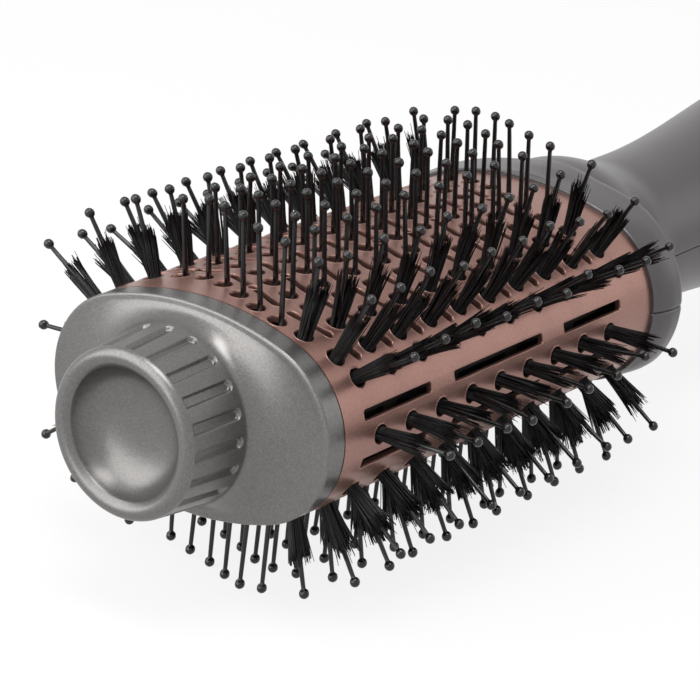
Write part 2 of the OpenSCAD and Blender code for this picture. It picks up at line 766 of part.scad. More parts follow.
module heating_coil() color([0.6, 0.5, 0.42]) {
    r = board_half + wire_r;
    run = heater_len - 2*coil_margin;
    n = 16;
    wire([for (i = [0:coil_turns*n]) [collar_x + heater_s0 + coil_margin + run*i/(coil_turns*n),
        r*cos(360*i/n + 45), r*sin(360*i/n + 45)]], wire_r, [1, 0, 0], 6);
}

module thermostat() color([0.75, 0.75, 0.72])
    translate([collar_x + heater_s0 + heater_len/4, 0.3*board_half, board_t/2]) {
        translate([-thermostat_w, -0.6*thermostat_w, 0])
            cube([2*thermostat_w, 1.2*thermostat_w, thermostat_w/2]);
        translate([0, 0, thermostat_w/2]) cylinder(0.35*thermostat_w, r = 0.55*thermostat_w);
    }

module thermal_fuse() color([0.85, 0.8, 0.6])
    translate([collar_x + heater_s1 - 2*fuse_len, -0.35*board_half, board_t/2 + fuse_r])
    rotate([0, 90, 0]) {
        cylinder(fuse_len, r = fuse_r);
        translate([0, 0, -0.3*fuse_len]) cylinder(1.6*fuse_len, r = 0.25*fuse_r, $fn = 16);
    }

// Fan and motor

module fan_housing() color([0.2, 0.2, 0.21]) translate([collar_x, 0, 0]) {
    translate([housing_s0, 0, 0]) along_x(housing_len) difference() {
        circle(housing_r);
        circle(housing_r - housing_wall);
    }
    translate([motor_s0, 0, 0]) along_x(motor_len - 4) difference() {
        circle(motor_r + cup_wall);
        circle(motor_r);
    }
    for (i = [0:vane_count - 1]) rotate([360*i/vane_count, 0, 0])
        translate([motor_s0, -vane_t/2, motor_r + cup_wall/2])
            cube([0.7*motor_len, vane_t, housing_r - motor_r - cup_wall]);
}

module motor_damper() color([0.12, 0.12, 0.12]) difference() {
    translate([collar_x + body_s - damper_len/2, 0, 0]) along_x(damper_len) difference() {
        circle(housing_r + damper_t);
        circle(housing_r);
    }
    lead_notches();
}

module motor() color([0.66, 0.66, 0.68]) translate([collar_x, 0, 0]) {
    difference() {
        union() {
            translate([motor_s0, 0, 0]) along_x(motor_len) circle(motor_r);
            translate([motor_s0 - 2, 0, 0]) along_x(2) circle(motor_r/3);
        }
        translate([motor_s0 + shaft_seat - end_gap, 0, 0]) along_x(motor_len)
            circle(shaft_r + run_fit);
    }
    for (side = [-1, 1]) translate([motor_s0 - tab_len, side*tab_y - tab_h, -tab_h/4])
        cube([tab_len, 2*tab_h, tab_h/2]);
}

module motor_shaft() color([0.8, 0.8, 0.82]) translate([collar_x + motor_s0 + shaft_seat, 0, 0])
    along_x(fan_s0 + fan_len - motor_s0 - shaft_seat) circle(shaft_r);

module fan_blade() {
    n = 7;
    function at(i, k, side) = let (r = hub_r - 0.6 + (fan_r - hub_r + 0.6)*k/2,
        f = i/(n - 1), a = 38*f*(1.2 - 0.25*k) + side*(7 - 2*k)*sin(180*(0.08 + 0.84*f)))
        [0.5 + f*(fan_len - 1), r*cos(a), r*sin(a)];
    outline = [for (k = [0:2]) concat([for (i = [0:n - 1]) at(i, k, 1)],
        [for (i = [n - 1:-1:0]) at(i, k, -1)])];
    m = 2*n;
    sides = [for (k = [0:1], i = [0:m - 1], half = [0, 1])
        half == 0 ? [k*m + i, (k + 1)*m + i, (k + 1)*m + (i + 1)%m]
                  : [k*m + i, (k + 1)*m + (i + 1)%m, k*m + (i + 1)%m]];
    root = [for (i = [0:n - 2], half = [0, 1])
        half == 0 ? [i, i + 1, m - 2 - i] : [i, m - 2 - i, m - 1 - i]];
    tip = [for (f = root) [2*m + f[2], 2*m + f[1], 2*m + f[0]]];
    polyhedron([for (ring = outline, p = ring) p], concat(sides, root, tip));
}

module fan_impeller() color([0.25, 0.25, 0.27]) translate([collar_x + fan_s0, 0, 0]) {
    difference() {
        union() {
            along_x(fan_len) circle(hub_r);
            for (i = [0:blade_count - 1]) rotate([360*i/blade_count, 0, 0]) fan_blade();
        }
        translate([-1, 0, 0]) along_x(fan_len + 2) circle(shaft_r);
        translate([-1, 0, 0]) along_x(fan_len - 1) difference() {
            circle(0.8*hub_r);
            circle(3*shaft_r);
        }
    }
}

// Electronics

module circuit_board() color([0.16, 0.36, 0.2])
    translate([collar_x + pcb_s0, -pcb_w/2, pcb_z]) cube([pcb_len, pcb_w, pcb_t]);

module board_parts() color([0.25, 0.25, 0.28])
    translate([collar_x + pcb_s0, 0, pcb_top]) {
        translate([0.27*pcb_len, -0.23*pcb_w, 0]) cylinder(capacitor_h, r = 0.4*capacitor_h);
        translate([0.27*pcb_len, 0.23*pcb_w, 0]) cylinder(0.8*capacitor_h, r = 0.3*capacitor_h);
        translate([0.46*pcb_len, -0.38*pcb_w, 0]) cube([0.24*pcb_len, 0.3*pcb_w, terminal_h - 1]);
        for (i = [0:3]) translate([(0.47 + 0.075*i)*pcb_len, 0.2*pcb_w, diode_r])
            rotate([-90, 0, 0]) cylinder(5*diode_r, r = diode_r);
        translate([pcb_len - terminal_w - 2, -0.3*pcb_w, 0])
            cube([terminal_w, 0.6*pcb_w, terminal_h]);
    }

// Insulated leads from the board, over the fan's housing, to the heater
module heater_leads() color([0.7, 0.2, 0.16]) for (side = [-1, 1])
    wire([for (p = [[pcb_s0 + 4, lead_y, pcb_top + lead_r],
        [pcb_s0 - 2, lead_y, pcb_top + 3], [housing_s1 + 6, lead_y, lead_z - 6],
        [housing_s1 + 2.5, lead_y, lead_z - 0.8], [housing_s1 + 0.8, lead_y, lead_z],
        [housing_s0 - 0.8, lead_y, lead_z], [housing_s0 - 3, lead_y, lead_z - 1],
        [heater_s1 + 12, 2, 12], [heater_s1 + 3, 1.2, 9.4],
        [heater_s1 - 2, board_t/2 + lead_r, 9], [heater_s1 - 6, board_t/2 + lead_r, 9]])
        [collar_x + p[0], side*p[1], p[2]]], lead_r, [0, 1, 0]);

module motor_leads() color([0.8, 0.7, 0.2]) for (side = [-1, 1])
    wire([for (p = [[motor_s0 - 3, tab_y, tab_h/4 + lead_r], [motor_s0 - 6, tab_y, 1.1],
        [motor_s0 - 14, 6.4, 2], [heater_s1 + 5, 5.2, 1.6],
        [heater_s1 - 1, 5, board_t/2 + lead_r], [heater_s1 - 5, 5, board_t/2 + lead_r]])
        [collar_x + p[0], side*p[1], p[2]]], lead_r, [0, 1, 0]);

module mains_leads() color([0.15, 0.3, 0.6]) for (side = [-1, 1])
    wire([for (p = [[swivel_x0 - 1, 1.4, 0], [tail_x - tail_len, 3, 1], [ring_x, 4, 2],
        [collar_x + pcb_s1 + 3, 4, mains_z + 0.5], [collar_x + pcb_s1 - 3, 4, mains_z],
        [collar_x + pcb_s1 - 8, 4, mains_z]])
        [p[0], side*p[1], p[2]]], mains_r, [0, 0, 1]);

// Selector ring and its switch

module switch_board() color([0.16, 0.36, 0.2])
    translate([ring_x - pcb_t - end_gap, 0, 0]) along_x(pcb_t) difference() {
        circle(spigot_r - spigot_wall - 0.03);
        circle(switch_hole_r);
    }

module switch_wiper() color([0.75, 0.6, 0.3]) translate([ring_x, 0, 0]) {
    translate([selector_w/2 - 2, 0, 0]) along_x(wiper_t) intersection() {
        difference() {
            circle(spigot_r - spigot_wall - 0.4);
            circle(switch_hole_r + 1.4);
        }
        translate([-spigot_r/3, 0]) square([2*spigot_r/3, 2*spigot_r]);
    }
    translate([0, -1, switch_hole_r + 4]) cube([selector_w/2 - 2, 2, 0.8]);
}

module selector_ring() color([0.3, 0.3, 0.31]) translate([ring_x, 0, 0]) {
    difference() {
        about_x() polygon([[spigot_r + run_fit, 0], [rear_r - ring_edge, 0], [rear_r, ring_edge],
            [rear_r, selector_w - ring_edge], [rear_r - ring_edge, selector_w],
            [spigot_r + run_fit, selector_w]]);
        for (i = [0:flute_count - 1]) rotate([360*(i + 0.5)/flute_count, 0, 0])
            translate([2*ring_edge, 0, rear_r + flute_r - flute_depth]) rotate([0, 90, 0])
                cylinder(selector_w - 4*ring_edge, r = flute_r, $fn = 32);
    }
    translate([(selector_w - tab_w)/2, -tab_w/2, spigot_r - spigot_wall - 0.6])
        cube([tab_w, tab_w, spigot_wall + 1.2]);
}

// Tail

module tail_cap() color([0.47, 0.46, 0.46]) difference() {
    inner_r = rear_r - tail_wall;
    translate([tail_x - tail_len, 0, 0]) about_x() polygon([[spigot_r, 0], [rear_r - 0.8, 0],
        [rear_r, 0.8], [rear_r, tail_seat], [rear_r - 1, tail_len/2 + 1],
        [rear_r - 3.6, tail_len - 4], [rear_r/2 + 2.2, tail_len - 0.6], [rear_r/2, tail_len],
        [journal_r + run_fit, tail_len], [journal_r + run_fit, tail_len - web_t],
        [rear_r/2 + 1.2, tail_len - web_t], [inner_r - 3, tail_len - 6],
        [inner_r - 0.4, tail_len/2], [inner_r, tail_seat], [spigot_r, tail_seat]]);
    for (i = [0:intake_count - 1]) rotate([360*(i + 0.5)/intake_count, 0, 0])
        translate([tail_x - tail_len + tail_seat + 2, -intake_w/2, rear_r - 8])
            cube([tail_len - tail_seat - 9, intake_w, 12]);
}

// Mesh cone held between the spigot's end and the tail cap
module dust_filter() color([0.3, 0.3, 0.32])
    translate([tail_x - tail_len + tail_seat, 0, 0]) about_x() polygon([[spigot_r - 0.4, 0],
        [spigot_r + 0.6, 0], [spigot_r + 0.2, 7], [rear_r - 6, tail_len - 13.2],
        [journal_r + 0.8, tail_len - 13.2], [journal_r + 0.8, tail_len - 14],
        [rear_r - 6.6, tail_len - 14], [spigot_r - 0.8, 7]]);

module cord_swivel() color([0.2, 0.2, 0.21]) difference() {
    union() {
        translate([swivel_x0, 0, 0]) along_x(-swivel_x0) circle(journal_r);
        translate([tail_x + end_gap, 0, 0]) about_x() polygon([[0, 0], [journal_r + 2, 0],
            [journal_r + 2, 3], [journal_r + 0.8, swivel_len - end_gap],
            [0, swivel_len - end_gap]]);
        translate([lug_x, lug_t/2, 0]) rotate([90, 0, 0]) {
            translate([-lug_r, -lug_y, 0]) cube([2*lug_r, lug_y, lug_t]);
            translate([0, -lug_y, 0]) cylinder(lug_t, r = lug_r);
        }
    }
    translate([swivel_x0 - 1, 0, 0]) along_x(2 - swivel_x0) circle(cord_bore_r);
    translate([lug_x, lug_t, -lug_y]) rotate([90, 0, 0]) cylinder(2*lug_t, r = hang_hole_r);
}

module swivel_clip() color([0.7, 0.7, 0.72])
    translate([tail_x - web_t - end_gap - clip_t, 0, 0]) along_x(clip_t) difference() {
        circle(journal_r + 2.4);
        circle(journal_r);
    }

end_cap();
barrel_shell();
air_core();
front_strip_ring();
rear_strip_ring();
flat_strips_top();
flat_strips_bottom();
tuft_strips();
ball_pins_top();
ball_pins_bottom();
tuft_pins();
bristle_tufts();
tie_rod();
barrel_base();
handle_upper_shell();
handle_lower_shell();
shell_screws();
mica_tube();
mica_board_upright();
mica_board_flat();
heating_coil();
thermostat();
thermal_fuse();
fan_housing();
motor_damper();
motor();
motor_shaft();
fan_impeller();
circuit_board();
board_parts();
heater_leads();
motor_leads();
mains_leads();
switch_board();
switch_wiper();
selector_ring();
tail_cap();
dust_filter();
cord_swivel();
swivel_clip();
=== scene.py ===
import math

import bpy
import numpy as np
from mathutils import Matrix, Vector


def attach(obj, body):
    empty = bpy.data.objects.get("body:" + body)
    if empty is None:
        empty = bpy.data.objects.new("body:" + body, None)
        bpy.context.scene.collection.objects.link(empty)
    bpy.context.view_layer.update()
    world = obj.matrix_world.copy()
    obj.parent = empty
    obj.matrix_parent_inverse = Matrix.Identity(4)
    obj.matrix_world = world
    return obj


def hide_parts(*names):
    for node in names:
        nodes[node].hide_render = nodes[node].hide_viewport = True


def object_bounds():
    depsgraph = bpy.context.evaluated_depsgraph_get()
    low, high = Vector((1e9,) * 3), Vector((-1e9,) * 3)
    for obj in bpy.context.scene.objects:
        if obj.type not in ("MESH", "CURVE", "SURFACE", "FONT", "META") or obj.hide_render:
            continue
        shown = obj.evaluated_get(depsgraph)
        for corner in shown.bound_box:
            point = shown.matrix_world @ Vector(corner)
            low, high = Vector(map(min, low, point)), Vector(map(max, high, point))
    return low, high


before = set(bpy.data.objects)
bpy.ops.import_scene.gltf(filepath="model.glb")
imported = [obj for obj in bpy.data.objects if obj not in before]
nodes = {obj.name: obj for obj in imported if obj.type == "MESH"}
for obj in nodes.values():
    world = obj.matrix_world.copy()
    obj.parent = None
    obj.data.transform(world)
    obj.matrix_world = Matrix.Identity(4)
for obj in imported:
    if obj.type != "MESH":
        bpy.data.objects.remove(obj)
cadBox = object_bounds()
mm = 0.001

# Sizes shared with the solids, in millimetres. x is counted from the cap's seam with the
# barrel, s from the collar's front, and both grow towards the handle.
body = {
    "capSeam": -355.4, "collarFront": -258.8, "shellEnd": -53.8, "tail": -12.0,
    "halfWidth": 30.5, "halfHeight": 19.2, "sideRadius": 16.9,
}


class Value:
    # one socket that can be added, multiplied and so on, each adding a Math node
    def __init__(self, tree, socket):
        self.tree = tree
        self.socket = socket

    def math(self, operation, *values):
        return self.tree.node("ShaderNodeMath", {"operation": operation}, list(values))

    def __add__(self, other):
        return self.math("ADD", self, other)

    __radd__ = __add__

    def __sub__(self, other):
        return self.math("SUBTRACT", self, other)

    def __rsub__(self, other):
        return self.math("SUBTRACT", other, self)

    def __mul__(self, other):
        return self.math("MULTIPLY", self, other)

    __rmul__ = __mul__

    def __pow__(self, other):
        return self.math("POWER", self, other)

    def ramp(self, low, high):
        # 0 below low, 1 above high, and a straight line between them
        return self.tree.node("ShaderNodeMapRange", {"clamp": True},
                              {"Value": self, "From Min": low, "From Max": high})


class Tree:
    def __init__(self, owner):
        self.tree = owner.node_tree
        self.tree.nodes.clear()

    def node(self, kind, settings, inputs, output=0):
        made = self.tree.nodes.new(kind)
        for key, value in settings.items():
            if key == "stops":
                ramp = made.color_ramp
                while len(ramp.elements) < len(value):
                    ramp.elements.new(0.5)
                for element, (place, colour) in zip(ramp.elements, value):
                    element.position = place
                    element.color = (*colour, 1.0)
            else:
                setattr(made, key, value)
        pairs = inputs.items() if isinstance(inputs, dict) else enumerate(inputs)
        for key, value in pairs:
            socket = made.inputs[key]
            if isinstance(value, Value):
                self.tree.links.new(value.socket, socket)
            elif isinstance(value, tuple) and len(value) == 3 and socket.type == "RGBA":
                socket.default_value = (*value, 1.0)
            else:
                socket.default_value = value
        return Value(self, made.outputs[output]) if len(made.outputs) else None

    def place(self):
        return self.node("ShaderNodeTexCoord", {}, [], "Object")

    def noise(self, where, scale, detail=2.0, rough=0.5):
        return self.node("ShaderNodeTexNoise", {}, {"Vector": where, "Scale": scale,
                         "Detail": detail, "Roughness": rough}, "Fac")

    def cells(self, where, scale):
        # one grey for each cell
        cells = self.node("ShaderNodeTexVoronoi", {}, {"Vector": where, "Scale": scale}, "Color")
        return self.node("ShaderNodeSeparateColor", {}, [cells])

    def mix(self, factor, first, second):
        return self.node("ShaderNodeMix", {"data_type": "RGBA"},
                         {0: factor, 6: first, 7: second}, 2)

    def bump(self, height, distance, strength=1.0):
        return self.node("ShaderNodeBump", {}, {"Height": height, "Distance": distance,
                         "Strength": strength})

    def seen(self):
        # 1 for rays from the camera, and for those that a shiny or clear surface sends on
        kinds = [self.node("ShaderNodeLightPath", {}, [], name)
                 for name in ("Is Camera Ray", "Is Glossy Ray", "Is Transmission Ray")]
        return (kinds[0] + kinds[1] + kinds[2]).ramp(0.0, 1.0)

    def surface(self, **inputs):
        shader = self.node("ShaderNodeBsdfPrincipled", {},
                           {key.replace("_", " "): value for key, value in inputs.items()})
        self.node("ShaderNodeOutputMaterial", {}, {"Surface": shader})


def newMaterial(name):
    material = bpy.data.materials.new(name)
    material.use_nodes = True
    return material, Tree(material)


def scaled(colour, by):
    return tuple(channel * by for channel in colour)


# Metallic paint: flakes in small cells brighten or darken the colour, a soft cloud changes
# the gloss, and a faint orange peel bends the light.
def metallicPaint(name, colour, metallic, roughness, flake=0.16, flakeSize=0.16, coat=0.0):
    material, tree = newMaterial(name)
    where = tree.place()
    grey = tree.cells(where, 1000 / flakeSize)
    cloud = tree.noise(where, 55.0)
    colours = tree.mix(grey, scaled(colour, 1 - flake), scaled(colour, 1 + flake))
    colours = tree.mix(cloud.ramp(0.35, 0.75) * 0.35, colours, scaled(colour, 0.9))
    peel = tree.noise(where, 900.0, 1.0)
    tree.surface(Base_Color=colours, Metallic=metallic,
                 Roughness=roughness + (cloud - 0.5) * 0.08 + (grey - 0.5) * 0.05,
                 Normal=tree.bump(peel, 0.02 * mm, 0.6), Coat_Weight=coat, Coat_Roughness=0.2)
    return material


# Moulded plastic: a fine grain in the height, a cloud in the colour and the gloss.
def mouldedPlastic(name, colour, roughness, grain=0.02, grainScale=2600.0, specular=0.5):
    material, tree = newMaterial(name)
    where = tree.place()
    cloud = tree.noise(where, 70.0, 3.0)
    fine = tree.noise(where, grainScale, 2.0)
    tree.surface(Base_Color=tree.mix(cloud, scaled(colour, 0.85), scaled(colour, 1.15)),
                 Roughness=roughness + (cloud - 0.5) * 0.12, Specular_IOR_Level=specular,
                 Normal=tree.bump(fine, grain * mm, 0.7))
    return material


# Metal sheet or bar: streaks along X in the gloss and a faint tarnish.
def plainMetal(name, colour, roughness):
    material, tree = newMaterial(name)
    where = tree.place()
    drawn = tree.node("ShaderNodeMapping", {}, {"Vector": where, "Scale": (0.1, 1, 1)})
    streak = tree.noise(drawn, 2400.0)
    cloud = tree.noise(where, 120.0)
    tree.surface(Base_Color=tree.mix(cloud, scaled(colour, 0.85), colour), Metallic=1.0,
                 Roughness=roughness + (streak - 0.5) * 0.18,
                 Normal=tree.bump(streak, 0.01 * mm, 0.5))
    return material


# Mica sheet: pale flakes of many sizes, slightly glossy.
def micaSheet(name, colour):
    material, tree = newMaterial(name)
    where = tree.place()
    grey = tree.cells(where, 900.0)
    tree.surface(Base_Color=tree.mix(grey, scaled(colour, 0.75), scaled(colour, 1.1)),
                 Roughness=0.35 + grey * 0.25, Normal=tree.bump(grey, 0.02 * mm, 0.5))
    return material


# Woven wire mesh: two sets of fine sine ribs, across each other. The colour falls to about a third where the
# ribs are low, a painted shade in the hollows of the weave.
def wovenMesh(name, colour):
    material, tree = newMaterial(name)
    where = tree.place()
    parts = [tree.node("ShaderNodeSeparateXYZ", {}, [where], i) for i in range(3)]
    ribs = [part.math("SINE", part * 9000.0) for part in parts]
    weave = ribs[0] * ribs[1] + ribs[2] * 0.5
    # painted shade: the colour darkens where the weave is low, following the same height as the bump
    tree.surface(Base_Color=tree.mix(weave.ramp(-0.6, 0.6), scaled(colour, 0.35), colour),
                 Metallic=0.6, Roughness=0.45, Normal=tree.bump(weave, 0.05 * mm, 0.8))
    return material


silverPaint = metallicPaint("silverPaint", (0.162, 0.157, 0.153), 0.85, 0.35, 0.2, 0.17)
handlePaint = metallicPaint("handlePaint", (0.098, 0.091, 0.093), 0.7, 0.34, 0.07, 0.12)
roseCoat = metallicPaint("roseCoat", (0.305, 0.166, 0.137), 0.75, 0.36, 0.17, 0.15)
pinNylon = mouldedPlastic("pinNylon", (0.004, 0.004, 0.0045), 0.14, 0.004, specular=0.45)
tuftNylon = mouldedPlastic("tuftNylon", (0.008, 0.008, 0.0085), 0.42, 0.0, specular=0.35)
stripNylon = mouldedPlastic("stripNylon", (0.012, 0.010, 0.010), 0.4)
heatResin = mouldedPlastic("heatResin", (0.022, 0.015, 0.013), 0.5, 0.03)
ringPlastic = mouldedPlastic("ringPlastic", (0.045, 0.043, 0.043), 0.42, 0.03, 1800.0)
swivelPlastic = mouldedPlastic("swivelPlastic", (0.02, 0.02, 0.02), 0.45, 0.03, 1800.0)
softRubber = mouldedPlastic("softRubber", (0.015, 0.015, 0.015), 0.7, 0.03)
fanPlastic = mouldedPlastic("fanPlastic", (0.06, 0.06, 0.065), 0.35)
boardGreen = mouldedPlastic("boardGreen", (0.02, 0.11, 0.045), 0.3)
partBlack = mouldedPlastic("partBlack", (0.02, 0.02, 0.022), 0.4)
leadRed = mouldedPlastic("leadRed", (0.42, 0.02, 0.015), 0.4)
leadYellow = mouldedPlastic("leadYellow", (0.55, 0.34, 0.03), 0.4)
leadBlue = mouldedPlastic("leadBlue", (0.02, 0.07, 0.3), 0.4)
brightSteel = plainMetal("brightSteel", (0.55, 0.55, 0.56), 0.3)
motorSteel = plainMetal("motorSteel", (0.45, 0.45, 0.46), 0.38)
coilWire = plainMetal("coilWire", (0.32, 0.26, 0.22), 0.42)
contactBrass = plainMetal("contactBrass", (0.66, 0.46, 0.18), 0.3)
mica = micaSheet("mica", (0.62, 0.5, 0.32))
filterMesh = wovenMesh("filterMesh", (0.12, 0.12, 0.125))
print("materials made")


# The quads between m rows of n points, each row closed on itself. first is the number of
# the first point.
def gridFaces(m, n, first=0):
    i, j = np.meshgrid(np.arange(m - 1), np.arange(n), indexing="ij")
    k = (j + 1) % n
    return first + np.stack([i * n + j, (i + 1) * n + j, (i + 1) * n + k, i * n + k], -1).reshape(-1, 4)


def triangles(quads):
    return np.vstack([quads[:, [0, 1, 2]], quads[:, [0, 2, 3]]])


def signedVolume(points, faces):
    a, b, c = (points[faces[:, i]] for i in range(3))
    volume = np.einsum("ij,ij->i", a, np.cross(b, c)).sum()
    if faces.shape[1] == 4:
        d = points[faces[:, 3]]
        volume += np.einsum("ij,ij->i", a, np.cross(c, d)).sum()
    return volume


def addPiece(name, points, faces, material, slotName, rider, *replaced):
    # points in millimetres, faces as one array of quads or triangles
    if signedVolume(points - points.mean(0), faces) < 0:
        faces = faces[:, ::-1]
    mesh = bpy.data.meshes.new(name)
    count, sides = faces.shape
    mesh.vertices.add(len(points))
    mesh.vertices.foreach_set("co", (points * mm).astype(np.float32).ravel())
    mesh.loops.add(count * sides)
    mesh.loops.foreach_set("vertex_index", faces.astype(np.int32).ravel())
    mesh.polygons.add(count)
    mesh.polygons.foreach_set("loop_start", np.arange(0, count * sides, sides, dtype=np.int32))
    mesh.polygons.foreach_set("use_smooth", np.ones(count, bool))
    mesh.update(calc_edges=True)
    mesh.validate()
    mesh.materials.append(material)
    piece = bpy.data.objects.new(name, mesh)
    bpy.context.scene.collection.objects.link(piece)
    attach(piece, rider)
    if replaced:
        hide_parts(*replaced)
    return piece


# A smooth path through (position, position) points: Catmull-Rom, count steps a span.
def smoothPath(points, count):
    p = np.asarray(points, float)
    p = np.vstack([2 * p[0] - p[1], p, 2 * p[-1] - p[-2]])
    t = np.linspace(0, 1, count, endpoint=False)[:, None]
    spans = []
    for a, b, c, d in zip(p[:-3], p[1:-2], p[2:-1], p[3:]):
        spans.append(0.5 * (2 * b + (c - a) * t + (2 * a - 5 * b + 4 * c - d) * t**2
                            + (3 * b - a - 3 * c + d) * t**3))
    return np.vstack(spans + [p[-2:-1]])


# An arc about (cx, cy) from angle a to b in degrees.
def arcPath(cx, cy, r, a, b, count):
    t = np.radians(np.linspace(a, b, count))
    return np.stack([cx + r * np.cos(t), cy + r * np.sin(t)], -1)


# Four arcs that meet where their normals agree. The point whose normal stands at angle p,
# moved out by grow, is on an end arc while |sin p| is small, and on a face arc otherwise.
arcY = body["halfWidth"] - body["sideRadius"]
faceRadius = (arcY**2 + body["halfHeight"]**2 - body["sideRadius"]**2) / (
    2 * (body["halfHeight"] - body["sideRadius"]))
faceDrop = faceRadius - body["halfHeight"]
turnAngle = math.atan2(faceDrop, arcY)


def ovalPoints(p, grow):
    c, s = np.cos(p), np.sin(p)
    onEnd = np.abs(s) <= math.sin(turnAngle)
    end = np.stack([np.sign(c) * arcY + (body["sideRadius"] + grow) * c,
                    (body["sideRadius"] + grow) * s], -1)
    face = np.stack([(faceRadius + grow) * c, (faceRadius + grow) * s - np.sign(s) * faceDrop], -1)
    return np.where(onEnd[..., None], end, face)


# Distance from the axis to the oval in the direction a, by interpolation round it.
def ovalReach(a, grow):
    p = np.linspace(-math.pi, math.pi, 2881)
    q = ovalPoints(p, grow)
    angle = np.unwrap(np.arctan2(q[:, 1], q[:, 0]))
    return np.interp((a - angle[0]) % (2 * math.pi) + angle[0], angle, np.hypot(q[:, 0], q[:, 1]))


cap = {
    "around": 600, "rim": 4.6, "edge": 0.5, "sweep": 4.7, "power": 2.2, "rootRadius": 16.3,
    "lipRadius": 15.3, "gripLength": 13.1, "lip": 1.75, "grooves": 20, "grooveStart": 0.3,
    "grooveWidth": 2.1, "grooveDepth": 0.8, "grooveEdge": 0.28, "proud": -0.02, "seamRoll": 0.24,
    # the part inside the barrel: x and how far the oval is moved out
    "insert": [(-3.4, -1.6), (-0.3, -1.6), (-0.06, -1.5)],
    # the dish: distance behind the lip's front, and radius
    "dish": [(0.95, 11.85), (2.1, 11.35), (3.2, 10.7), (4.3, 9.8), (5.2, 8.6), (5.85, 7.0),
             (6.3, 4.9), (6.5, 2.5), (6.56, 0.2)],
}


# Rows of the cap from its seam inwards: each is a ring, the oval moved in by some amount,
# blended by t into a circle. Past the sweep the rings are circles of the grip's profile,
# and a groove lowers the radius inside a U that ends at the lip.
def buildCap(c):
    p = np.linspace(0, 2 * math.pi, c["around"], endpoint=False)
    x0 = body["capSeam"]
    rows = []

    def oval(x, grow):
        q = ovalPoints(p, grow)
        rows.append(np.column_stack([np.full(len(p), x0 + x), q]))

    for x, grow in c["insert"]:
        oval(x, grow)
    for a in np.radians(np.linspace(0, 90, 5)):
        oval(-0.28 + 0.22 * math.cos(a), -0.28 + c["seamRoll"] * math.sin(a))
    for x in np.linspace(-0.8, -c["rim"] + c["edge"] + 0.15, 6):
        oval(x, c["proud"])
    for a in np.radians(np.linspace(0, 82, 10)):
        oval(-c["rim"] + c["edge"] * (1 - math.sin(a)), c["proud"] - c["edge"] * (1 - math.cos(a)))
    rimX = rows[-1][0, 0] - x0
    start = ovalPoints(p, -1.02)
    ring = c["rootRadius"] * np.stack([np.cos(p), np.sin(p)], -1)
    for t in 1 - (1 - np.linspace(0.02, 1, 44))**1.5:
        rise = 1 - (1 - t**c["power"])**(1 / c["power"])
        depth = rimX - (c["sweep"] + c["rim"] + rimX) * (0.1 * t + 0.9 * rise)
        rows.append(np.column_stack([np.full(len(p), x0 + depth), (1 - t) * start + t * ring]))
    rootX = -c["rim"] - c["sweep"]
    front = -rootX + c["gripLength"]
    lipX = front - c["lip"]
    taper = (c["rootRadius"] - c["lipRadius"]) / (lipX + rootX)
    along = np.linspace(-rootX + 0.15, lipX, 70)
    side = np.column_stack([along, c["rootRadius"] - taper * (along + rootX)])
    lip = arcPath(lipX, c["lipRadius"] - c["lip"], c["lip"], 84, -50, 22)
    dish = smoothPath([(front - depth, radius) for depth, radius in c["dish"]], 5)
    profile = np.vstack([side, lip, dish])
    # distance round the grip from the nearest groove, and along it from the groove's back
    pitch = 2 * math.pi / c["grooves"]
    around = ((p - math.pi + 0.5 * pitch) % pitch) - 0.5 * pitch
    full = c["rootRadius"] - taper * (profile[:, 0] + rootX)
    across = np.abs(around)[None, :] * full[:, None]
    half = c["grooveWidth"] / 2
    along = (profile[:, 0] + rootX - c["grooveStart"] - half)[:, None]
    inside = half - np.where(along < 0, np.hypot(across, along), across)
    inside = np.minimum(inside, (lipX + 0.15 - profile[:, 0])[:, None])
    level = np.clip(inside / c["grooveEdge"], 0, 1)
    level = level**2 * (3 - 2 * level)
    floor = full[:, None] - c["grooveDepth"] * level
    radius = np.minimum(profile[:, 1][:, None], floor)
    grip = np.stack([np.broadcast_to(x0 - profile[:, 0][:, None], radius.shape),
                     radius * np.cos(p), radius * np.sin(p)], -1)
    points = np.concatenate([np.stack(rows), grip])
    m, n = points.shape[:2]
    faces = gridFaces(m, n)
    flat = points.reshape(-1, 3)
    # the two ends close on a point each
    ends = np.array([[x0 + c["insert"][0][0], 0, 0], [x0 - profile[-1, 0], 0, 0]])
    j = np.arange(n)
    k = (j + 1) % n
    last = (m - 1) * n
    fans = np.concatenate([np.stack([j, k, np.full(n, m * n)], -1),
                           np.stack([last + k, last + j, np.full(n, m * n + 1)], -1)])
    return np.vstack([flat, ends]), np.vstack([triangles(faces), fans])


addPiece("capMoulding", *buildCap(cap), silverPaint, "cap_paint", "brush", "end_cap")
print("cap made")


field = {
    "pitch": 9.0, "rowPitch": 5.2, "count": 10, "sideCount": 9, "start": 5.4, "swing": 3.1,
    "sideStart": 10.0, "normals": (53, 37), "leans": (13, 30, 56), "pinShift": 1.15,
    "tuftShift": 0.5,
}


def rowStart(j):
    # the rows of a wide face, numbered from its middle, start at staggered distances
    return field["start"] - field["swing"] * math.cos(math.radians(40 * (j + 2.5)))


